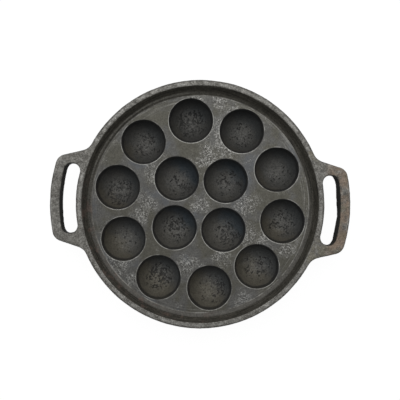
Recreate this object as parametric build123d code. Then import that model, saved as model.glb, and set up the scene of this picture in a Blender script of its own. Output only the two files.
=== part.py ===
from build123d import *
from math import hypot, sqrt
import os

# Round cast-iron pan for small filled dumplings: a shallow tray with a raised rim,
# fourteen bowl-shaped wells sunk in its floor, and a loop handle on each side.
# The real pan is one casting. Each node here is one region of that casting, and
# the regions meet face to face. Z is up, the handles lie along X, the wells stand on Z = 0.

# Tray and rim, in millimetres
rim_radius = 125.0
rim_height = 34.5
lip_width = 6.0
deck_top = 24.5
deck_thickness = 4.5
wall_lean = 5.5
wall_thickness = 5.7
foot_fillet = 5.5
lip_inner_round = 1.2
outer_corner_round = 4.0

# The lip is a band as deep as the handles, so that they run into each other
band_depth = 9.0
band_top_round = 3.0
band_bottom_bevel = 2.2

# Wells: a bowl inside, and outside a dome that is thicker at the bottom and ends in a flat foot
mouth_radius = 22.2
well_depth = 20.0
mouth_bevel = 0.8
dome_radius = 24.8
foot_radius = 8.5
outer_ring_radius = 85.5
outer_ring_count = 10
outer_ring_start = 27.0
inner_ring_radius = 35.2
inner_ring_count = 4
inner_ring_start = 45.0

# Loop handles, in plan: an outer arc round the pan's own centre, and two ends that draw in slightly
handle_reach = 151.0
handle_end_inner = (120.4, 48.8)
handle_end_outer = (134.5, 44.8)
handle_corner_radius = 11.0
handle_root_radius = 14.0
slot_reach = 141.0
slot_half_length = 35.0
slot_end_radius = 7.5

# Where the regions of the casting meet
deck_radius = 109.9
band_inner_radius = 120.0
handle_root_inner = 26.0
handle_root_outer = 58.0

deck_underside = deck_top - deck_thickness
band_underside = rim_height - band_depth
lip_inner_radius = rim_radius - lip_width
wall_foot_radius = lip_inner_radius - wall_lean
wall_slope = wall_lean / (rim_height - deck_top)
bowl_radius = (mouth_radius**2 + well_depth**2) / (2 * well_depth)
bowl_centre_height = deck_top - well_depth + bowl_radius
dome_centre_height = sqrt(dome_radius**2 - foot_radius**2)


def outer_wall_radius(height):
    """Radius of the outside of the sloping wall, which runs parallel to its inside."""
    inner = wall_foot_radius + wall_slope * (height - deck_top)
    return inner + wall_thickness * hypot(1, wall_slope)


def cylinder_between(radius, low, high):
    """Upright cylinder on the pan's axis, from one height to another."""
    return Pos(0, 0, low) * extrude(Circle(radius), high - low)


def handle_blank():
    """Plan of the right-hand handle before its corners and roots are rounded.

    The line of each end runs on past both of its points, out of the arc and into the pan.
    """
    run_on = 2 * (Vector(*handle_end_outer) - Vector(*handle_end_inner))
    tip = Vector(*handle_end_outer) + run_on
    root = Vector(*handle_end_inner) - run_on
    ends = Polyline((root.X, root.Y), (tip.X, tip.Y), (tip.X, -tip.Y), (root.X, -root.Y), close=True)
    return Circle(handle_reach) & make_face(ends)


def handle_slot():
    """Plan of the right-hand finger slot, which reaches in to the lip and has rounded ends."""
    strip = Pos(slot_reach, 0) * Rectangle(slot_reach, 2 * slot_half_length)
    slot = (Circle(slot_reach) - Circle(rim_radius)) & strip
    corners = slot.vertices().filter_by(lambda corner: abs(corner.Y) > slot_half_length / 2)
    return fillet(corners, slot_end_radius)


def both_sides(shape):
    """A right-hand shape together with the same shape turned half round the pan."""
    return shape + Rot(0, 0, 180) * shape


def on_circle(vertices, radius):
    """Corners of a plan that lie on a circle round the pan's centre, without its seam on the X axis."""
    tolerance = 0.01
    return vertices.filter_by(
        lambda corner: abs(hypot(corner.X, corner.Y) - radius) < tolerance and abs(corner.Y) > tolerance
    )


def lip_band_and_handles():
    """The lip's band with both handles on it, rounded along its upper edges and bevelled below."""
    plan = Circle(rim_radius) + both_sides(handle_blank())
    plan = fillet(on_circle(plan.vertices(), handle_reach), handle_corner_radius)
    plan = fillet(on_circle(plan.vertices(), rim_radius), handle_root_radius)
    plan -= both_sides(handle_slot())
    slab = Pos(0, 0, band_underside) * extrude(plan, band_depth)
    slab = fillet(slab.edges().group_by(Axis.Z)[-1], band_top_round)
    slab = chamfer(slab.edges().group_by(Axis.Z)[0], band_bottom_bevel)
    return slab - cylinder_between(band_inner_radius, 0, 2 * rim_height)


def right_handle_zone():
    """Space that the right-hand handle takes from the band: its loop and its two roots."""
    half_plane = Pos(handle_reach / 2, 0) * Rectangle(handle_reach, 2 * handle_root_outer)
    between_roots = Pos(slot_reach / 2, 0) * Rectangle(slot_reach, 2 * handle_root_inner)
    slot_middle = (rim_radius + slot_reach) / 2
    kept_by_lip = Circle(slot_middle) & between_roots
    return extrude(half_plane - kept_by_lip, 2 * rim_height)


def rim_wall(band):
    """Sloping wall with its foot fillet, turned as one profile, with the lip's band round its top."""
    profile = make_face(
        Polyline(
            (deck_radius, deck_underside),
            (deck_radius, deck_top),
            (wall_foot_radius, deck_top),
            (lip_inner_radius, rim_height),
            (band_inner_radius, rim_height),
            (band_inner_radius, band_underside),
            (outer_wall_radius(band_underside), band_underside),
            (outer_wall_radius(deck_underside), deck_underside),
            close=True,
        )
    )
    corners = profile.vertices()
    foot = corners.sort_by_distance((wall_foot_radius, deck_top))[0]
    lip_edge = corners.sort_by_distance((lip_inner_radius, rim_height))[0]
    outer_corner = corners.sort_by_distance((outer_wall_radius(deck_underside), deck_underside))[0]
    profile = fillet(foot, foot_fillet)
    profile = fillet(profile.vertices().sort_by_distance(lip_edge)[0], lip_inner_round)
    profile = fillet(profile.vertices().sort_by_distance(outer_corner)[0], outer_corner_round)
    wall = revolve(Plane.XZ * profile, Axis.Z)
    return wall + band


def well_centres(ring_radius, count, start_angle):
    """Places of a ring of wells, evenly spaced round the pan's axis."""
    return PolarLocations(ring_radius, count, start_angle, rotate=False).locations


def bowl_space():
    """The hollow of one well, centred on the Z axis."""
    return Pos(0, 0, bowl_centre_height) * Sphere(bowl_radius)


def deck_plate(centres):
    """Flat floor of the tray with the mouths of all the wells, each with its edge broken."""
    plate = cylinder_between(deck_radius, deck_underside, deck_top)
    plate -= [centre * bowl_space() for centre in centres]
    top_edges = plate.faces().sort_by(Axis.Z)[-1].inner_wires().edges()
    return chamfer(top_edges, mouth_bevel)


def well_cup():
    """Part of one well that hangs below the deck, centred on the Z axis."""
    dome = Pos(0, 0, dome_centre_height) * Sphere(dome_radius)
    return (dome & cylinder_between(dome_radius, 0, deck_underside)) - bowl_space()


outer_centres = well_centres(outer_ring_radius, outer_ring_count, outer_ring_start)
inner_centres = well_centres(inner_ring_radius, inner_ring_count, inner_ring_start)
band_and_handles = lip_band_and_handles()
right_zone = right_handle_zone()
left_zone = Rot(0, 0, 180) * right_zone

nodes = {
    "rim_wall": rim_wall(band_and_handles - right_zone - left_zone),
    "deck_plate": deck_plate(outer_centres + inner_centres),
    "handle_right": band_and_handles & right_zone,
    "handle_left": band_and_handles & left_zone,
}
for number, centre in enumerate(outer_centres, 1):
    nodes[f"outer_well_{number:02d}"] = centre * well_cup()
for number, centre in enumerate(inner_centres, 1):
    nodes[f"inner_well_{number}"] = centre * well_cup()

os.makedirs("parts", exist_ok=True)
for name, shape in nodes.items():
    export_step(shape, f"parts/{name}.step")
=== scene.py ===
from functools import reduce
from math import atan2, cos, dist, pi, radians, sin, sqrt, tan

import bpy
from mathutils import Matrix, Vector, noise


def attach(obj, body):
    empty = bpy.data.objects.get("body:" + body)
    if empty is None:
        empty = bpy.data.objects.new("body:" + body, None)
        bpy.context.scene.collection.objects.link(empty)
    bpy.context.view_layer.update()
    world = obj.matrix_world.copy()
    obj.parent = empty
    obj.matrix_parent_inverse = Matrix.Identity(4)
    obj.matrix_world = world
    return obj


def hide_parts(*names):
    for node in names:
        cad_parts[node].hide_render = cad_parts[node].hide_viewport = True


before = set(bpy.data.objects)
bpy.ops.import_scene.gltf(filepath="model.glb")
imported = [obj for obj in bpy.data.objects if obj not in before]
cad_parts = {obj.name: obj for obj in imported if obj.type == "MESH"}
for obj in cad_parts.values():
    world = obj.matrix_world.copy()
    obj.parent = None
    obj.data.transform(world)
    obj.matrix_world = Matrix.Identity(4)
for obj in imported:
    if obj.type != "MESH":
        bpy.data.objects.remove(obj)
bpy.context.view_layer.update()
MM = 0.001

# Overhead camera. It looks straight down on the pan from 65 cm above the lip, and it is
# rolled a little, so that the right-hand handle hangs lower in the picture.
camera_x, camera_y, camera_height = -0.32, 4.23, 684.5
camera_roll = radians(2.715)
bpy.ops.object.camera_add(
    location=(camera_x * MM, camera_y * MM, camera_height * MM), rotation=(0, 0, camera_roll)
)
overhead_camera = bpy.context.object
overhead_camera.name = "overhead_camera"
overhead_camera.data.lens = 58.46
overhead_camera.data.clip_start = 0.01
bpy.context.scene.camera = overhead_camera
bpy.context.scene.view_settings.view_transform = "Standard"


# Pale studio floor under a soft lamp. The lamp hangs beyond the far side of the pan and
# leans towards it, so the far wall of each bowl lies in its own shade.
class Value:
    """One output of a shader node, which adds Math nodes when it is used in an expression."""

    def __init__(self, finish, socket):
        self.finish = finish
        self.socket = socket

    def maths(self, operation, *values):
        return self.finish.node("ShaderNodeMath", {"operation": operation}, dict(enumerate(values)))

    def __add__(self, other):
        return self.maths("ADD", self, other)

    def __sub__(self, other):
        return self.maths("SUBTRACT", self, other)

    def __mul__(self, other):
        return self.maths("MULTIPLY", self, other)

    def __truediv__(self, other):
        return self.maths("DIVIDE", self, other)

    def __pow__(self, other):
        return self.maths("POWER", self, other)

    def __radd__(self, other):
        return self.maths("ADD", other, self)

    def __rsub__(self, other):
        return self.maths("SUBTRACT", other, self)

    def __rmul__(self, other):
        return self.maths("MULTIPLY", other, self)

    def __abs__(self):
        return self.maths("ABSOLUTE", self)

    def least(self, other):
        return self.maths("MINIMUM", self, other)

    def most(self, other):
        return self.maths("MAXIMUM", self, other)

    def step(self, low, high, to_low=0.0, to_high=1.0):
        """Smooth rise from to_low, where this value is low, to to_high, where it is high."""
        settings = {"interpolation_type": "SMOOTHSTEP", "clamp": True}
        values = {"Value": self, "From Min": low, "From Max": high, "To Min": to_low, "To Max": to_high}
        return self.finish.node("ShaderNodeMapRange", settings, values)


class Finish:
    """A material, or the world, that is put together node by node."""

    def __init__(self, block):
        block.use_nodes = True
        self.tree = block.node_tree
        self.tree.nodes.clear()

    def node(self, kind, settings=None, sockets=None, output=0):
        """Adds a node, makes its settings first, then its sockets, and gives one of its outputs."""
        made = self.tree.nodes.new(kind)
        for key, setting in (settings or {}).items():
            setattr(made, key, setting)
        for key, value in (sockets or {}).items():
            if isinstance(value, Value):
                self.tree.links.new(value.socket, made.inputs[key])
            else:
                made.inputs[key].default_value = value
        if not made.outputs:
            return made
        return Value(self, made.outputs[output])


def seen_directly(finish):
    """1 where the camera sees a surface directly, mirrored or through glass, and 0 elsewhere."""
    kinds = ("Is Camera Ray", "Is Glossy Ray", "Is Transmission Ray")
    direct, mirrored, through_glass = [finish.node("ShaderNodeLightPath", output=kind) for kind in kinds]
    return direct.most(mirrored).most(through_glass)


bpy.ops.object.select_all(action="DESELECT")
bpy.ops.mesh.primitive_plane_add(size=6, location=(0, 0, 0))
studio_floor = bpy.context.object
studio_floor.name = "studio_floor"
glow_share = 0.94
floor_paper = bpy.data.materials.new("floor_paper")
finish = Finish(floor_paper)
paper = finish.node("ShaderNodeBsdfDiffuse", {}, {"Color": (0.85, 0.85, 0.85, 1)})
glow = finish.node("ShaderNodeEmission", {}, {"Color": (1, 1, 1, 1), "Strength": 1.03})
seen_from_below = finish.node("ShaderNodeNewGeometry", output="Backfacing")
clear = finish.node("ShaderNodeBsdfTransparent")
glowing = seen_directly(finish) * glow_share
lit_paper = finish.node("ShaderNodeMixShader", {}, {0: glowing, 1: paper, 2: glow})
surface = finish.node("ShaderNodeMixShader", {}, {0: seen_from_below, 1: lit_paper, 2: clear})
finish.node("ShaderNodeOutputMaterial", {}, {"Surface": surface})
studio_floor.data.materials.append(floor_paper)

lamp_place = (-0.12, 0.62, 1.15)
lamp_lean = (radians(-28), 0, radians(6))
bpy.ops.object.light_add(type="AREA", location=lamp_place, rotation=lamp_lean)
window_lamp = bpy.context.object
window_lamp.name = "window_lamp"
window_lamp.data.shape = "RECTANGLE"
window_lamp.data.size = 1.8
window_lamp.data.size_y = 1.2
window_lamp.data.energy = 20

studio_air = bpy.data.worlds.new("studio_air")
finish = Finish(studio_air)
strength = 0.25 + 0.75 * seen_directly(finish)
air = finish.node("ShaderNodeBackground", {}, {"Color": (1, 1, 1, 1), "Strength": strength})
finish.node("ShaderNodeOutputWorld", {}, {"Surface": air})
bpy.context.scene.world = studio_air


# The casting. The pan is poured in one go: a round tray with a lip, a dome under each of
# its fourteen bowls, and a loop handle on each side. Its shapes are turned or drawn one by
# one, joined as the pattern maker joins a pattern, and softened as sand leaves iron.
rim_radius = 125
rim_height = 34.5
lip_inner_radius = 119
wall_foot_radius = 113.5
wall_outer_low = 117.5
wall_outer_high = 120.55
deck_top = 24.5
deck_underside = 20
band_underside = 25.5
mouth_radius = 22.2
bowl_radius = 22.32
bowl_centre_height = 26.82
dome_radius = 24.8
foot_radius = 8.5
dome_centre_height = sqrt(dome_radius**2 - foot_radius**2)

# Each ring of wells has a radius, a number of wells and the angle of its first well.
well_rings = [(85.5, 10, radians(27)), (35.2, 4, radians(45))]
well_places = [
    (ring * cos(start + 2 * pi * k / count), ring * sin(start + 2 * pi * k / count))
    for ring, count, start in well_rings
    for k in range(count)
]


def select_only(piece):
    bpy.ops.object.select_all(action="DESELECT")
    piece.select_set(True)
    bpy.context.view_layer.objects.active = piece


def copy_of(piece, name):
    """The same shape again, with a mesh of its own."""
    twin = piece.copy()
    twin.data = piece.data.copy()
    twin.name = name
    bpy.context.collection.objects.link(twin)
    return twin


def join(pieces, name):
    select_only(pieces[0])
    for piece in pieces:
        piece.select_set(True)
    bpy.ops.object.join()
    pieces[0].name = name
    return pieces[0]


def apply_modifier(piece, kind, **settings):
    select_only(piece)
    modifier = piece.modifiers.new(kind.lower(), kind)
    for key, setting in settings.items():
        setattr(modifier, key, setting)
    bpy.ops.object.modifier_apply(modifier=modifier.name)


def combine(piece, operation, other, keep=False):
    """Adds another shape to a piece, takes it away, or keeps only what lies in both."""
    apply_modifier(piece, "BOOLEAN", operation=operation, object=other, solver="MANIFOLD")
    if not keep:
        bpy.data.objects.remove(other)


def place_on_origin(piece):
    select_only(piece)
    bpy.ops.object.transform_apply(location=True, rotation=True, scale=True)


def draw_profile(name, corners):
    """Closed outline through (radius, height) corners, upright in the plane of the X axis."""
    bpy.ops.object.select_all(action="DESELECT")
    bpy.ops.mesh.primitive_circle_add(vertices=len(corners), fill_type="NGON")
    outline = bpy.context.object
    outline.name = name
    for vertex, (radius, height) in zip(outline.data.vertices, corners):
        vertex.co = (radius * MM, 0, height * MM)
    return outline


def round_corner(outline, place, radius, segments):
    """Rounds the corner of an outline that is nearest to a (radius, height) place."""
    mesh = outline.data
    target = Vector((place[0] * MM, 0, place[1] * MM))
    corner = min(mesh.vertices, key=lambda vertex: (vertex.co - target).length)
    number = corner.index
    ends = [edge for edge in mesh.edges if number in edge.vertices]
    sides = [mesh.vertices[sum(edge.vertices) - number].co - corner.co for edge in ends]
    setback = radius * MM / tan(sides[0].angle(sides[1]) / 2)
    select_only(outline)
    bpy.ops.object.mode_set(mode="EDIT")
    bpy.ops.mesh.select_mode(type="VERT")
    bpy.ops.mesh.select_all(action="DESELECT")
    bpy.ops.object.mode_set(mode="OBJECT")
    mesh.vertices[number].select = True
    bpy.ops.object.mode_set(mode="EDIT")
    bpy.ops.mesh.bevel(offset=setback, segments=segments, profile=0.5, affect="VERTICES")
    bpy.ops.object.mode_set(mode="OBJECT")


def turn_profile(outline, steps):
    """Spins an outline round the Z axis into a closed solid."""
    mesh = outline.data
    select_only(outline)
    bpy.ops.object.mode_set(mode="EDIT")
    bpy.ops.mesh.select_mode(type="EDGE")
    bpy.ops.mesh.select_all(action="SELECT")
    bpy.ops.mesh.delete(type="ONLY_FACE")
    bpy.ops.mesh.select_all(action="DESELECT")
    bpy.ops.object.mode_set(mode="OBJECT")
    for edge in mesh.edges:
        edge.select = all(abs(mesh.vertices[end].co.x) < 0.01 * MM for end in edge.vertices)
    bpy.ops.object.mode_set(mode="EDIT")
    bpy.ops.mesh.delete(type="EDGE")
    bpy.ops.mesh.select_all(action="SELECT")
    bpy.ops.mesh.spin(steps=steps, angle=2 * pi, center=(0, 0, 0), axis=(0, 0, 1))
    bpy.ops.mesh.select_all(action="SELECT")
    bpy.ops.mesh.remove_doubles(threshold=0.002 * MM)
    bpy.ops.mesh.normals_make_consistent(inside=False)
    bpy.ops.object.mode_set(mode="OBJECT")


def raise_outline(name, layers):
    """Closed solid through level outlines of (x, y, z) points in millimetres, lowest first.

    It starts as a flat disc, which is extruded once for each further outline.
    """
    bpy.ops.object.select_all(action="DESELECT")
    bpy.ops.mesh.primitive_circle_add(vertices=len(layers[0]), fill_type="NGON")
    solid = bpy.context.object
    solid.name = name
    mesh = solid.data
    for vertex, point in zip(mesh.vertices, layers[0]):
        vertex.co = Vector(point) * MM
    for lower, upper in zip(layers, layers[1:]):
        bpy.ops.object.mode_set(mode="EDIT")
        bpy.ops.mesh.select_mode(type="FACE")
        bpy.ops.mesh.extrude_region_move()
        bpy.ops.object.mode_set(mode="OBJECT")
        starts = [Vector(point) * MM for point in lower]
        for vertex in mesh.vertices:
            if vertex.select:
                nearest = min(range(len(starts)), key=lambda k: (starts[k] - vertex.co).length)
                vertex.co = Vector(upper[nearest]) * MM
    bpy.ops.object.mode_set(mode="EDIT")
    bpy.ops.mesh.select_all(action="SELECT")
    bpy.ops.mesh.normals_make_consistent(inside=False)
    bpy.ops.object.mode_set(mode="OBJECT")
    return solid


def arc(centre, radius, start, end, steps):
    """Points in the plan along an arc, from one angle to another."""
    turns = [start + (end - start) * k / steps for k in range(steps + 1)]
    return [(centre[0] + radius * cos(turn), centre[1] + radius * sin(turn)) for turn in turns]


# Tray: one profile from the middle of the deck to the lip, turned on the pan's axis.
tray = draw_profile(
    "tray",
    [
        (0, deck_underside),
        (wall_outer_low, deck_underside),
        (wall_outer_high, band_underside),
        (rim_radius, band_underside),
        (rim_radius, rim_height),
        (lip_inner_radius, rim_height),
        (wall_foot_radius, deck_top),
        (0, deck_top),
    ],
)
round_corner(tray, (wall_outer_low, deck_underside), radius=4, segments=6)
round_corner(tray, (wall_outer_high, band_underside), radius=1.5, segments=4)
round_corner(tray, (rim_radius, band_underside), radius=2.4, segments=5)
round_corner(tray, (rim_radius, rim_height), radius=2.2, segments=6)
round_corner(tray, (lip_inner_radius, rim_height), radius=0.8, segments=3)
round_corner(tray, (wall_foot_radius, deck_top), radius=5.5, segments=8)
turn_profile(tray, steps=360)

# Domes: each hangs under the deck with a flared root and a flat foot to stand on, and ends
# above the deck's underside. The bowls are a little small, because roughening widens them.
root_flare = 5
dome_top = 22
widening = 0.25
flare_height = deck_underside - root_flare
flare_radius = sqrt((dome_radius + root_flare) ** 2 - (dome_centre_height - flare_height) ** 2)
dome_start = atan2(-dome_centre_height, foot_radius)
dome_end = atan2(flare_height - dome_centre_height, flare_radius)
dome_side = arc((0, dome_centre_height), dome_radius, dome_start, dome_end, 18)
flare = arc((flare_radius, flare_height), root_flare, dome_end + pi, pi / 2, 6)
dome_profile = [(0, 0)] + dome_side + flare[1:] + [(flare_radius, dome_top), (0, dome_top)]
dome = draw_profile("dome", dome_profile)
round_corner(dome, (foot_radius, 0), radius=2, segments=3)
turn_profile(dome, steps=96)
bpy.ops.object.select_all(action="DESELECT")
bowl_place = (0, 0, bowl_centre_height * MM)
bpy.ops.mesh.primitive_uv_sphere_add(
    segments=128, ring_count=64, radius=(bowl_radius - widening) * MM, location=bowl_place
)
bowl = bpy.context.object
place_on_origin(bowl)


def at_each_well(piece, name):
    """Copies of a piece under all the bowls, joined into one mesh."""
    copies = []
    for x, y in well_places:
        twin = copy_of(piece, name)
        twin.location = (x * MM, y * MM, 0)
        place_on_origin(twin)
        copies.append(twin)
    bpy.data.objects.remove(piece)
    return join(copies, name)


casting = tray
combine(casting, "UNION", at_each_well(dome, "domes"))
combine(casting, "DIFFERENCE", at_each_well(bowl, "bowls"))

# Handles: flat loops as deep as the lip's band. Each end draws in slightly towards the
# grip, and a hollow fillet runs it into the lip, inside which its hidden side lies.
handle_reach = 151
handle_corner = 11
handle_root = 14
hidden_reach = 121
slot_reach = 141
slot_end = 7.5
slot_straight = 27.5
lean_start = 129
lean_run = 8
end_inner = Vector((120.4, 48.8))
end_outer = Vector((134.5, 44.8))
along_end = (end_outer - end_inner).normalized()
out_of_end = Vector((-along_end.y, along_end.x))
end_offset = out_of_end.dot(end_inner)


def centre_of_fillet(distance, offset):
    """Point at a distance from the pan's axis and an offset outside the line of the handle's end."""
    across = end_offset + offset
    return out_of_end * across + along_end * sqrt(distance**2 - across**2)


def handle_outline(inset):
    """Plan of the right-hand handle, drawn in by an inset."""
    corner = centre_of_fillet(handle_reach - handle_corner, -handle_corner)
    root = centre_of_fillet(rim_radius + handle_root, handle_root)
    facing_out = atan2(out_of_end.y, out_of_end.x)
    corner_turn = atan2(corner.y, corner.x)
    root_turn = atan2(root.y, root.x)
    upper = [(hidden_reach * cos(root_turn), hidden_reach * sin(root_turn))]
    upper += arc(root, handle_root + inset, root_turn - pi, facing_out - pi, 10)
    upper += arc(corner, handle_corner - inset, facing_out, corner_turn, 10)
    grip = arc((0, 0), handle_reach - inset, corner_turn, -corner_turn, 40)
    lower = [(x, -y) for x, y in reversed(upper)]
    hidden = arc((0, 0), hidden_reach, -root_turn, root_turn, 40)
    return upper + grip[1:-1] + lower + hidden[1:-1]


def clamp(value):
    """The value, held between 0 and 1."""
    return max(0.0, min(1.0, value))


def slot_outline(outset, lean, ragged):
    """Plan of the right-hand finger slot, spread by an outset. Its inner side is the lip itself.

    The grip's side leans into the slot, and its ragged flash stands out further, in a wavy line.
    """
    far_x = sqrt((slot_reach - slot_end) ** 2 - slot_straight**2)
    near_x = sqrt((rim_radius + slot_end) ** 2 - slot_straight**2)
    far_turn = atan2(slot_straight, far_x)
    near_turn = atan2(slot_straight, near_x)
    upper = arc((far_x, slot_straight), slot_end + outset, far_turn, pi / 2, 12)
    upper += arc((near_x, slot_straight), slot_end + outset, pi / 2, near_turn + pi, 8)
    lip_side = arc((0, 0), rim_radius - outset, near_turn, -near_turn, 24)
    grip_side = arc((0, 0), slot_reach + outset, -far_turn, far_turn, 48)
    lower = [(x, -y) for x, y in reversed(upper)]
    outline = []
    for x, y in upper + lip_side[1:-1] + lower + grip_side[1:-1]:
        far_side = clamp((x - lean_start) / lean_run)
        long_wave = noise.noise(Vector((4.2, y / 14, 3.0)))
        short_wave = noise.noise(Vector((0, y / 4.5, 9.0)))
        wave = 0.5 + long_wave + 0.3 * short_wave
        outline.append((x - far_side * (lean + ragged * wave), y))
    return outline


def rounded_layers(outline, upper_round, lower_round):
    """Levels of a plan between the handle's two faces, with its upper and lower edges rounded."""
    levels = []
    for turn in [k * pi / 12 for k in range(7)]:
        levels.append((lower_round * (1 - sin(turn)), band_underside + lower_round * (1 - cos(turn))))
    for turn in [k * pi / 12 for k in range(7)]:
        levels.append((upper_round * (1 - cos(turn)), rim_height - upper_round * (1 - sin(turn))))
    return [[(x, y, height) for x, y in outline(inset)] for inset, height in levels]


# Slot core, from below the handle to above it: height, outset, lean and share of the flash.
core_levels = [
    (20, -0.3, 1.9, 1),
    (27, -0.3, 1.9, 1),
    (29, -0.2, 1.6, 0.5),
    (31, 0, 1.0, 0),
    (33.2, 0, 0.5, 0),
    (33.9, 0.3, 0.5, 0),
    (34.3, 0.7, 0.5, 0),
    (34.5, 1.2, 0.5, 0),
    (40, 1.2, 0.5, 0),
]
for side, flash in (("right", 1.4), ("left", 0.2)):
    handle_layers = rounded_layers(handle_outline, upper_round=2.2, lower_round=2)
    handle = raise_outline(f"{side}_handle", handle_layers)
    slot_layers = []
    for height, outset, lean, share in core_levels:
        slot_layers.append([(x, y, height) for x, y in slot_outline(outset, lean, share * flash)])
    combine(handle, "DIFFERENCE", raise_outline("slot", slot_layers))
    if side == "left":
        handle.rotation_euler = (0, 0, pi)
        place_on_origin(handle)
    combine(casting, "UNION", handle)

# Sand leaves no sharp corner, so the whole casting is laid out in an even mesh and softened.
# Then the crust in the bowls is pitted, and all of the surface is roughened.
cell = 0.78
pit_sink = 0.6
pit_grain = 1.9
pit_cluster = 7
pit_spot = Vector((3.5, -4))
pit_reach = 19
pit_fade = 12
pit_ceiling = deck_top - 3
crust_thickness = 1.2
wells_within = 110
bowl_middles = [Vector((x, y, bowl_centre_height)) * MM for x, y in well_places]
apply_modifier(casting, "REMESH", mode="VOXEL", voxel_size=cell * MM, adaptivity=0, use_smooth_shade=True)
apply_modifier(casting, "SMOOTH", factor=0.5, iterations=2)


def roughen(piece, depth, grain, octaves):
    """Moves the surface in and out in grains of one size, mostly in, over a depth in all."""
    sand = bpy.data.textures.new("sand", "CLOUDS")
    sand.noise_scale = grain * MM
    sand.noise_depth = octaves
    settings = {"texture_coords": "LOCAL", "strength": depth * MM, "mid_level": 0.8}
    apply_modifier(piece, "DISPLACE", texture=sand, **settings)


def pit_depth(place):
    """How deep the crust in a bowl is pitted at a place, from 0 to 1.

    The pits crowd round a spot that lies low on the right of the bowl's floor, more or less far
    out, and some bowls have more of them than others.
    """
    if place.z / MM > pit_ceiling or place.xy.length / MM > wells_within:
        return 0.0
    ball = min(bowl_middles, key=lambda middle: (middle - place).length)
    if (place - ball).length / MM > bowl_radius + crust_thickness:
        return 0.0
    spot = ((place - ball).normalized() * bowl_radius * MM + ball) / MM
    aside = Vector((noise.noise(ball / MM * 0.11), noise.noise(ball / MM * 0.17))) * 9
    off_middle = (spot.xy - ball.xy / MM - aside - pit_spot).length
    cluster = noise.noise(spot / pit_cluster) * 0.5 + noise.noise(ball / MM * 0.23) * 0.3
    blotch = noise.fractal(spot / pit_grain, 1.0, 2.0, 3)
    return clamp((blotch + cluster - 0.1) * 2.4) * clamp((pit_reach - off_middle) / pit_fade)


moves = [vertex.normal * -pit_sink * MM * pit_depth(vertex.co) for vertex in casting.data.vertices]
for vertex, move in zip(casting.data.vertices, moves):
    vertex.co += move
roughen(casting, depth=0.5, grain=17, octaves=2)
roughen(casting, depth=0.2, grain=2.6, octaves=1)


class Iron(Finish):
    """The iron of one piece. It starts as plain grey iron, and takes its marks one after another.

    Its patterns read the place on the piece in millimetres, so they run on from piece to piece.
    """

    streak_radius = 110

    def __init__(self, name):
        self.material = bpy.data.materials.new(name)
        super().__init__(self.material)
        place = self.node("ShaderNodeTexCoord", output="Object")
        self.place = self.node("ShaderNodeVectorMath", {"operation": "SCALE"}, {0: place, "Scale": 1000.0})
        self.x, self.y, self.z = [
            self.node("ShaderNodeSeparateXYZ", {}, {0: self.place}, output=axis) for axis in ("X", "Y", "Z")
        ]
        self.radius = (self.x * self.x + self.y * self.y) ** 0.5
        self.turn = self.y.maths("ARCTAN2", self.y, self.x)
        self.colour = (0.06, 0.06, 0.058, 1)
        self.roughness = 0.55
        self.metal = 0.1
        self.relief = 0.0
        self.grit = 1.0

    def vector_maths(self, operation, first, second, output="Vector"):
        return self.node("ShaderNodeVectorMath", {"operation": operation}, {0: first, 1: second}, output)

    def noise(self, size, detail=2.0, roughness=0.5, shift=0.0):
        """Cloudy pattern from 0 to 1 with grains of a size in millimetres."""
        place = self.place
        if shift:
            place = self.vector_maths("ADD", place, (shift, -shift, 2 * shift))
        sockets = {"Vector": place, "Scale": 1 / size, "Detail": detail, "Roughness": roughness}
        return self.node("ShaderNodeTexNoise", {}, sockets)

    def near(self, x, y, reach):
        """1 at a place in the plan, falling to 0 at its reach."""
        flat = self.node("ShaderNodeCombineXYZ", {}, {"X": self.x, "Y": self.y})
        return self.vector_maths("DISTANCE", flat, (x, y, 0), "Value").step(0, reach, 1, 0)

    def mark(self, mask, colour, roughness=None, metal=None, grit=None):
        """Lays a colour over the iron where a mask is 1, or a share of it where the mask is less.

        A roughness, a share of bare metal and a sandiness go with it where they are given. The
        colours of a Mix node are its inputs 6 and 7 and its output 2.
        """
        layers = {0: mask, 6: self.colour, 7: (*colour, 1)}
        self.colour = self.node("ShaderNodeMix", {"data_type": "RGBA"}, layers, output=2)
        if roughness is not None:
            self.roughness = self.roughness + mask * (roughness - self.roughness)
        if metal is not None:
            self.metal = self.metal + mask * (metal - self.metal)
        if grit is not None:
            self.grit = self.grit + mask * (grit - self.grit)

    def streaks(self, width, length, shift=0.0):
        """Cloudy pattern from 0 to 1 that is drawn out round the pan, as a scourer leaves it.

        Its grains have their width and length, in millimetres, where the wall meets the deck.
        """
        along = self.turn * (self.streak_radius / length)
        sockets = {"X": self.radius / width + shift, "Y": along, "Z": self.z / width}
        place = self.node("ShaderNodeCombineXYZ", {}, sockets)
        sockets = {"Vector": place, "Scale": 1.0, "Detail": 3.0, "Roughness": 0.6}
        return self.node("ShaderNodeTexNoise", {}, sockets)

    def shade(self, factor):
        """Makes the colour lighter or darker by a factor."""
        sockets = {0: self.colour, "Scale": factor}
        self.colour = self.node("ShaderNodeVectorMath", {"operation": "SCALE"}, sockets)

    def pour(self):
        """Ends the material: sand grain all over, then the shader."""
        grain = self.noise(1.5, 3.0, 0.75)
        swell = self.noise(5.5, 3.0, 0.6, shift=13)
        fine = ((grain - 0.5) * 3.2 * self.grit + 1.0).most(0.25)
        coarse = (swell - 0.5) * 1.2 * self.grit + 1.0
        self.shade(fine * coarse)
        height = self.relief + (0.25 * grain + 0.15 * swell) * self.grit
        bump = {"Strength": 1.0, "Distance": MM, "Height": height}
        sockets = {
            "Base Color": self.colour,
            "Roughness": self.roughness + 0.3 * (grain - 0.5),
            "Metallic": self.metal,
            "Specular IOR Level": 0.12,
            "Normal": self.node("ShaderNodeBump", {}, bump),
        }
        shader = self.node("ShaderNodeBsdfPrincipled", {}, sockets)
        self.node("ShaderNodeOutputMaterial", {}, {"Surface": shader})
        return self.material


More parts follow.
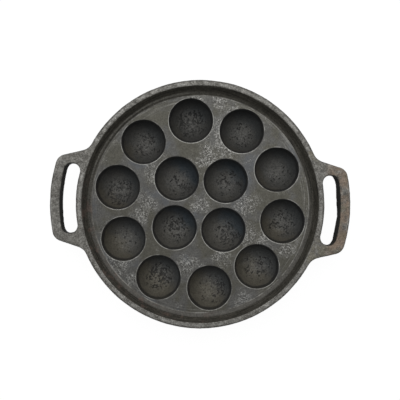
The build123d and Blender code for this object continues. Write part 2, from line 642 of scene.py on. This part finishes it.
# Well cups. Each is the part of the casting that hangs below the deck round one bowl. Inside
# it is black with baked oil, pitted round its middle; outside it is dull from the fire.
class WellPlan:
    """Where a point of the iron lies against the nearest well: how far off, and on which side."""

    def __init__(self, iron):
        rings = []
        for ring, count, start in well_rings:
            sector = 2 * pi / count
            aside = iron.turn.maths("WRAP", iron.turn - start, sector / 2, -sector / 2)
            cosine = aside.maths("COSINE", aside)
            across = iron.radius * iron.radius + ring**2 - 2 * ring * iron.radius * cosine
            gap = across.most(0.0) ** 0.5
            middle = iron.turn - aside
            rings.append((gap, ring * middle.maths("COSINE", middle), ring * middle.maths("SINE", middle)))
        (outer_gap, outer_x, outer_y), (inner_gap, inner_x, inner_y) = rings
        self.inner = iron.x.maths("LESS_THAN", inner_gap, outer_gap)
        self.gap = inner_gap.least(outer_gap)
        self.x = iron.x - (outer_x + self.inner * (inner_x - outer_x))
        self.y = iron.y - (outer_y + self.inner * (inner_y - outer_y))
        drop = iron.z - bowl_centre_height
        self.from_ball = (self.gap * self.gap + drop * drop) ** 0.5
        self.in_bowl = self.from_ball.step(bowl_radius + 0.1, bowl_radius + 0.9, 1, 0)


def black_bowls(iron, plan):
    """Marks of the bowls: baked oil, browner low on the left and bluer high on the right.

    A crust in the middle is pitted black. The middle is lighter, partly from scraping and partly a painted
    pool of light, and painted shade darkens the far side and the iron close under the mouth.
    """
    iron.mark(plan.in_bowl, (0.040, 0.0395, 0.037), 0.68, 0.0, 0.45)
    up_right = plan.x + plan.y
    patchy = (iron.noise(15, 3.0, 0.55) - 0.5) * 1.4
    warm = (up_right * -0.03 + iron.y * -0.006 + patchy).step(0.0, 0.85) * plan.in_bowl
    iron.mark(warm * (0.85 - 0.5 * plan.inner), (0.050, 0.0455, 0.035))
    cool = (up_right * 0.035 + patchy).step(0.05, 0.9) * plan.in_bowl
    iron.mark(cool * (0.4 + 0.6 * plan.inner), (0.026, 0.032, 0.037))
    crust_x, crust_y = plan.x - 1.5, plan.y + 1.5
    from_crust = (crust_x * crust_x + crust_y * crust_y) ** 0.5
    crusty = (from_crust + 18 * (iron.noise(8, 2.0, 0.6) - 0.5)).step(6, 19, 1, 0) * plan.in_bowl
    crust = iron.noise(1.6, 4.0, 0.8, shift=7)
    iron.mark(crusty * crust.step(0.5, 0.64) * 0.4, (0.1, 0.098, 0.091), 0.62, None, 0.6)
    iron.mark(crusty * crust.step(0.46, 0.37) * 0.5, (0.018, 0.0175, 0.017), 0.7)
    pit = iron.node("ShaderNodeAttribute", {"attribute_name": "pit"}, output="Fac")
    fleck = iron.noise(1.2, 3.0, 0.7, shift=19)
    black = (pit * 1.5 + (fleck - 0.5) * 2.1 + crusty * 0.12).step(0.42, 0.75) * plan.in_bowl
    iron.mark(black * 0.8, (0.006, 0.006, 0.006), 0.85)
    iron.relief = iron.relief - 0.25 * black
    # Partly scraped wear and partly a painted pool of light: the middle of each bowl is lighter, nearer the
    # lamp. Painted shade darkens the far side of each bowl and the wells towards the far side of the pan.
    light_pool_y = plan.y - 3
    lighter_patch = ((plan.x * plan.x + light_pool_y * light_pool_y) ** 0.5).step(2, 21, 1, 0)
    painted_lit_side = plan.y.step(9, 21, 1, 0)
    iron.shade(1.0 + plan.in_bowl * (0.95 * lighter_patch + 0.3 * painted_lit_side - 0.36 + iron.y * -0.003))
    # Painted shade: a near-black band just under the mouth of each bowl, with an uneven lower edge.
    uneven_gap = plan.gap + (iron.noise(9, 3.0, 0.6, shift=23) - 0.5) * 2.5
    shade_under_mouth = uneven_gap.step(mouth_radius - 2.4, mouth_radius - 0.8) * plan.in_bowl
    iron.mark(shade_under_mouth * 0.8, (0.010, 0.010, 0.010), 0.7)


def mark_pits(piece):
    """Writes how deep each point of a piece is pitted, for the iron to be black there."""
    pits = piece.data.attributes.new("pit", "FLOAT", "POINT")
    for vertex in piece.data.vertices:
        pits.data[vertex.index].value = pit_depth(vertex.co)


def dull_underside(iron, plan):
    """Marks of all that faces the fire: matt soot and oil over the bare sand face."""
    outside = plan.from_ball.step(bowl_radius + 1, bowl_radius + 1.6)
    below = outside * iron.z.step(deck_top - 2.5, deck_top - 1.5, 1, 0)
    mottle = iron.noise(9, 4.0, 0.6)
    iron.mark(below, (0.058, 0.056, 0.053), 0.7, 0.0, 0.9)
    iron.mark(below * mottle.step(0.5, 0.64) * 0.7, (0.105, 0.100, 0.092), 0.6)
    iron.mark(below * mottle.step(0.46, 0.36) * 0.8, (0.026, 0.025, 0.024), 0.75)


def tidy_cuts(piece):
    """Takes out the points that a cut leaves halfway along an edge, where only two edges meet."""
    mesh = piece.data
    select_only(piece)
    bpy.ops.object.mode_set(mode="EDIT")
    bpy.ops.mesh.select_mode(type="VERT")
    bpy.ops.mesh.select_all(action="DESELECT")
    bpy.ops.object.mode_set(mode="OBJECT")
    edges_at = [0] * len(mesh.vertices)
    for edge in mesh.edges:
        for end in edge.vertices:
            edges_at[end] += 1
    for vertex in mesh.vertices:
        vertex.select = edges_at[vertex.index] == 2
    bpy.ops.object.mode_set(mode="EDIT")
    bpy.ops.mesh.dissolve_verts()
    bpy.ops.object.mode_set(mode="OBJECT")


def dress(piece, material, slot_name, *nodes):
    """Gives a finished piece its material and its place in the frame."""
    tidy_cuts(piece)
    piece.data.materials.clear()
    piece.data.materials.append(material)
    bpy.ops.object.shade_smooth_by_angle(angle=radians(50))
    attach(piece, "root")
    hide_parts(*nodes)


def separate(pieces):
    """Splits one mesh into its separate bodies."""
    select_only(pieces)
    bpy.ops.object.mode_set(mode="EDIT")
    bpy.ops.mesh.select_all(action="SELECT")
    bpy.ops.mesh.separate(type="LOOSE")
    bpy.ops.object.mode_set(mode="OBJECT")
    return list(bpy.context.selected_objects)


def zone_between(radius, low, high, vertices):
    """Upright cylinder on the pan's axis, from one height to another, to cut the casting with."""
    middle = (0, 0, (low + high) / 2 * MM)
    bpy.ops.object.select_all(action="DESELECT")
    bpy.ops.mesh.primitive_cylinder_add(
        vertices=vertices, radius=radius * MM, depth=(high - low) * MM, location=middle
    )
    zone = bpy.context.object
    place_on_origin(zone)
    return zone


cup_zone = zone_between(dome_radius, low=-1, high=deck_underside, vertices=128)
cup_zones = at_each_well(cup_zone, "cup_zones")
cups = copy_of(casting, "cups")
combine(cups, "INTERSECT", cup_zones, keep=True)
combine(casting, "DIFFERENCE", cup_zones)
iron = Iron("well_iron")
plan = WellPlan(iron)
black_bowls(iron, plan)
dull_underside(iron, plan)
well_iron = iron.pour()
node_names = [f"outer_well_{k + 1:02d}" for k in range(10)] + [f"inner_well_{k + 1}" for k in range(4)]
for cup in separate(cups):
    mark_pits(cup)
    middle = sum((vertex.co for vertex in cup.data.vertices), Vector()) / len(cup.data.vertices) / MM
    number = min(range(len(well_places)), key=lambda k: dist(well_places[k], middle.xy))
    cup.name = node_names[number].replace("well", "cup")
    cup.data.name = cup.name
    dress(cup, well_iron, "seasoned_iron", node_names[number])


# Tray deck. The flat floor of the tray round the mouths of the bowls. Scouring has worn its
# skin through in patches, where the bare grain of the iron glitters, and along the mouths,
# where a painted highlight is laid over the wear.
deck_radius = 109.9

# Each worn patch has its place in the plan and its reach.
worn_patches = [(18, 72, 22), (24, 55, 20), (5, 47, 22), (2, 0, 17), (-50, 28, 17), (-54, 0, 18)]
worn_patches += [(-60, -14, 17), (46, 2, 20), (48, -30, 20), (26, -52, 16), (66, -34, 15)]
worn_patches += [(-80, -62, 20), (-10, -64, 20), (-72, 62, 17), (-8, 106, 13), (14, 106, 16)]
worn_patches += [(32, 92, 18), (38, 80, 14), (-66, -78, 13), (91, -43, 14), (49, -92, 13)]


def worn_deck(iron, plan):
    """Marks of the deck: smooth grey skin, glittering patches, mouth rings partly worn and partly painted
    highlight.
    """
    out_of_bowl = plan.from_ball.step(bowl_radius + 0.1, bowl_radius + 0.9)
    flat = iron.z.step(deck_top - 1.2, deck_top - 0.6) * out_of_bowl
    skin = iron.noise(32, 3.0, 0.55)
    iron.mark(flat, (0.078, 0.077, 0.0725), 0.5, 0.1, 0.5)
    iron.mark(flat * skin.step(0.46, 0.58) * 0.75, (0.066, 0.063, 0.049), 0.55)
    iron.mark(flat * skin.step(0.45, 0.36) * 0.8, (0.074, 0.078, 0.083), 0.46, 0.1, 0.25)
    in_patch = reduce(Value.most, [iron.near(*patch) for patch in worn_patches])
    lighter_patch = (in_patch * 0.85 + (iron.noise(13, 5.0, 0.7) - 0.5) * 2.8).step(0.05, 0.8) * flat
    glitter = iron.noise(1.25, 4.0, 0.8)
    iron.mark(lighter_patch * 0.5, (0.105, 0.103, 0.095), 0.5, 0.2, 1.0)
    iron.mark(lighter_patch * glitter.step(0.51, 0.6), (0.27, 0.268, 0.255), 0.42, 0.4)
    iron.mark(lighter_patch * glitter.step(0.47, 0.39) * 0.85, (0.024, 0.023, 0.021), 0.6)
    iron.relief = iron.relief + 0.2 * lighter_patch * (glitter - 0.5)
    # Partly wear and partly a painted highlight: a light line round each mouth, strongest on its lower
    # left.
    side = plan.x * -0.012 + plan.y * -0.016 + 3.2 * (iron.noise(13, 2.0, 0.5, shift=17) - 0.5)
    mouth_wear_and_highlight = abs(plan.gap - (mouth_radius + 0.5)).step(0.25, 0.8, 1, 0)
    mouth_wear_and_highlight = mouth_wear_and_highlight * iron.z.step(deck_top - 1.5, deck_top - 0.8)
    iron.mark(mouth_wear_and_highlight * side.step(-0.45, 0.4) * 0.9, (0.33, 0.325, 0.305), 0.4, 0.3)
    scoured = iron.streaks(1.3, 30)
    ring = iron.radius.step(101, 106) * scoured.step(0.5, 0.66) * flat
    iron.mark(ring * 0.5, (0.15, 0.147, 0.138), 0.42, 0.4)
    ring = iron.radius.step(98, 106) * scoured.step(0.46, 0.36) * flat
    iron.mark(ring * 0.4, (0.045, 0.043, 0.038), 0.5)
    # Painted light: the deck is made lighter towards the far side and the right, darker towards the near
    # left.
    iron.shade(1.0 + flat * (iron.y * 0.0013 + iron.x * 0.0009 - 0.01))


deck_zone = zone_between(deck_radius, low=-10, high=50, vertices=720)
deck = copy_of(casting, "tray_deck")
combine(deck, "INTERSECT", deck_zone, keep=True)
combine(casting, "DIFFERENCE", deck_zone)
mark_pits(deck)
iron = Iron("deck_iron")
plan = WellPlan(iron)
worn_deck(iron, plan)
black_bowls(iron, plan)
dull_underside(iron, plan)
dress(deck, iron.pour(), "cast_iron", "deck_plate")


# Loop handles. Each is cast with the lip and as deep as the lip's band, so hands have rubbed
# both to the same grey. The right-hand one has a breath of rust.
band_inner_radius = 120
root_outer = 58
root_inner = 26
slot_middle = (rim_radius + slot_reach) / 2
slot_half_length = slot_straight + slot_end
past_grip = 160


def rubbed_lip(iron, sand):
    """Marks of the lip and handles: rubbed grey skin, blotched lighter and darker by its sandiness."""
    drift = iron.noise(20, 2.0, 0.5, shift=61)
    blotch = iron.noise(5, 4.0, 0.65)
    fine = iron.noise(1.4, 3.0, 0.75, shift=41)
    iron.mark(1.0, (0.108, 0.104, 0.094), 0.5, 0.15, 0.8)
    iron.mark(drift.step(0.46, 0.36) * 0.5, (0.070, 0.067, 0.059), 0.55)
    iron.mark(drift.step(0.54, 0.64) * 0.4, (0.16, 0.156, 0.144), 0.45)
    iron.mark(blotch.step(0.5, 0.6) * sand, (0.21, 0.206, 0.191), 0.42, 0.3)
    iron.mark(blotch.step(0.48, 0.38) * sand, (0.052, 0.049, 0.043), 0.55)
    iron.mark(fine.step(0.53, 0.62) * sand, (0.27, 0.266, 0.25), 0.4, 0.3)
    iron.mark(fine.step(0.47, 0.39) * sand, (0.030, 0.029, 0.026), 0.6)


def below_top(iron):
    """1 on the sides of the lip and handles, and 0 on their top face."""
    return iron.z.step(rim_height - 1.5, rim_height - 0.5, 1, 0)


def unrubbed_and_shaded_sides(iron):
    """Marks of the sides of the lip and handles: darker, duller iron, partly unrubbed and partly painted
    shade.
    """
    iron.mark(below_top(iron) * 0.9, (0.046, 0.044, 0.039), 0.65, 0.05)


def rubbed_grip(iron, side):
    """Marks of a handle: painted highlight and shade along its outer edge, rust on the right one, a slot in
    painted shade.
    """
    rubbed_lip(iron, 0.38)
    # Painted highlight: a broken light line just inside the outer edge of the grip.
    outer_highlight = abs(iron.radius - (handle_reach - 2)).step(0.3, 1.0, 1, 0)
    outer_highlight = outer_highlight * iron.noise(9, 2.0, 0.5, shift=71).step(0.4, 0.6)
    iron.mark(outer_highlight * 0.5, (0.24, 0.236, 0.22), 0.45)
    if side == "right":
        rust = iron.noise(12, 3.0, 0.6).step(0.3, 0.6) * iron.x.step(122, 134)
        iron.mark(rust * 0.6, (0.19, 0.135, 0.095), 0.6, 0.1)
        olive = iron.noise(14, 3.0, 0.6, shift=27).step(0.45, 0.6)
        iron.mark(olive * 0.4, (0.12, 0.108, 0.07), 0.6, 0.1)
    # Painted shade on the rounded outer edge of the grip.
    shaded_outer_edge = iron.radius.step(handle_reach - 1.3, handle_reach - 0.5)
    iron.mark(shaded_outer_edge * 0.7, (0.022, 0.021, 0.019), 0.65)
    unrubbed_and_shaded_sides(iron)
    # Painted shade: the sides of the finger slot are made near black.
    shaded_slot = iron.radius.step(slot_reach + 0.4, slot_reach + 1.4, 1, 0)
    shaded_slot = shaded_slot * iron.radius.step(rim_radius - 0.4, rim_radius + 0.2)
    along_slot = abs(iron.y).step(slot_half_length + 1, slot_half_length + 2.5, 1, 0)
    shaded_slot = shaded_slot * along_slot * below_top(iron)
    iron.mark(shaded_slot * 0.95, (0.008, 0.0078, 0.007), 0.75, 0.0)


def turn_at(radius, y):
    """Angle at which a circle round the pan's axis reaches a y."""
    return atan2(y, sqrt(radius**2 - y**2))


def grip_zone():
    """Space of the right-hand loop and its two roots, which cross the lip's band."""
    outer_turn = turn_at(band_inner_radius, root_outer)
    inner_turn = turn_at(band_inner_radius, root_inner)
    slot_turn = turn_at(slot_middle, root_inner)
    near = arc((0, 0), band_inner_radius, outer_turn, inner_turn, 40)
    far = arc((0, 0), slot_middle, slot_turn, -slot_turn, 60)
    back = [(x, -y) for x, y in reversed(near)]
    outline = near + far + back + [(past_grip, -root_outer), (past_grip, root_outer)]
    return raise_outline("grip_zone", [[(x, y, z) for x, y in outline] for z in (10, 50)])


right_zone = grip_zone()
left_zone = copy_of(right_zone, "left_zone")
left_zone.rotation_euler = (0, 0, pi)
place_on_origin(left_zone)
grips = copy_of(casting, "grips")
zones = join([right_zone, left_zone], "zones")
combine(grips, "INTERSECT", zones, keep=True)
combine(casting, "DIFFERENCE", zones)
for grip in separate(grips):
    side = "right" if grip.data.vertices[0].co.x > 0 else "left"
    grip.name = f"{side}_loop"
    grip.data.name = grip.name
    iron = Iron(f"{side}_handle_iron")
    rubbed_grip(iron, side)
    dress(grip, iron.pour(), "cast_iron", f"handle_{side}")


# Rim. What is left of the casting once the rest is off: the sloping wall, black with baked
# oil where no scourer reaches, and the flat lip round its top.
def baked_wall(iron):
    """Marks of the rim: rubbed lip with a painted highlight inside and painted shade on its outer edge,
    over a black wall.
    """
    rubbed_lip(iron, 0.46)
    # Painted highlight: a broken light line along the lip, just outside its inner edge.
    lip_highlight = abs(iron.radius - (lip_inner_radius + 2.4)).step(0.5, 1.7, 1, 0)
    lip_highlight = lip_highlight * iron.noise(14, 3.0, 0.6, shift=5).step(0.42, 0.6)
    iron.mark(lip_highlight * 0.5, (0.24, 0.237, 0.224), 0.4, 0.3)
    # Painted shade on the rounded outer edge of the lip.
    shaded_outer_edge = iron.radius.step(rim_radius - 2.6, rim_radius - 0.6)
    iron.mark(shaded_outer_edge * 0.55, (0.047, 0.045, 0.040), 0.55)
    unrubbed_and_shaded_sides(iron)
    inside = iron.radius.step(lip_inner_radius - 0.4, lip_inner_radius + 0.3, 1, 0)
    inside = inside * iron.z.step(deck_top - 1.2, deck_top - 0.6)
    iron.mark(inside, (0.074, 0.071, 0.064), 0.5, 0.1, 0.6)
    wall = inside * iron.z.step(deck_top + 0.8, deck_top + 2.2)
    # Painted shade in the corner at the foot of the wall, darkest on the far side and lighter on the near
    # side.
    shaded_foot = inside * iron.radius.step(deck_radius + 0.6, deck_radius + 1.4)
    wall = wall.most(shaded_foot * iron.y.step(-70, 40, 0.25, 0.95))
    iron.mark(wall, (0.031, 0.029, 0.0235), 0.6, 0.0, 0.8)
    scoured = iron.streaks(1.1, 26, shift=50)
    iron.mark(inside * scoured.step(0.5, 0.64) * 0.6, (0.062, 0.058, 0.050), 0.5)
    iron.mark(wall * scoured.step(0.46, 0.38) * 0.7, (0.010, 0.010, 0.009), 0.7)
    stain = iron.noise(9, 3.0, 0.6, shift=83).step(0.52, 0.64) * (iron.x + iron.y).step(-150, -60, 1, 0)
    iron.mark(inside * stain * 0.5, (0.085, 0.060, 0.050), 0.6)
    # Painted highlight: a light line at the foot of the wall on the far left, in place of a small ledge.
    ledge_highlight = abs(iron.radius - (wall_foot_radius + 0.1)).step(0.3, 1.1, 1, 0)
    iron.mark(ledge_highlight * (iron.y - iron.x).step(105, 150) * inside * 0.8, (0.100, 0.096, 0.085), 0.5)
    # Partly wear and partly a painted highlight: a broken light line round the edge of the deck.
    foot_wear_and_highlight = abs(iron.radius - (deck_radius + 0.4)).step(0.2, 0.8, 1, 0)
    foot_wear_and_highlight = foot_wear_and_highlight * iron.noise(24, 3.0, 0.6, shift=3).step(0.4, 0.58)
    iron.mark(foot_wear_and_highlight * inside * 0.7, (0.19, 0.186, 0.172), 0.45, 0.2)


rim = casting
rim.name = "rim_ring"
rim.data.name = "rim_ring"
iron = Iron("rim_iron")
baked_wall(iron)
dull_underside(iron, WellPlan(iron))
dress(rim, iron.pour(), "cast_iron", "rim_wall")
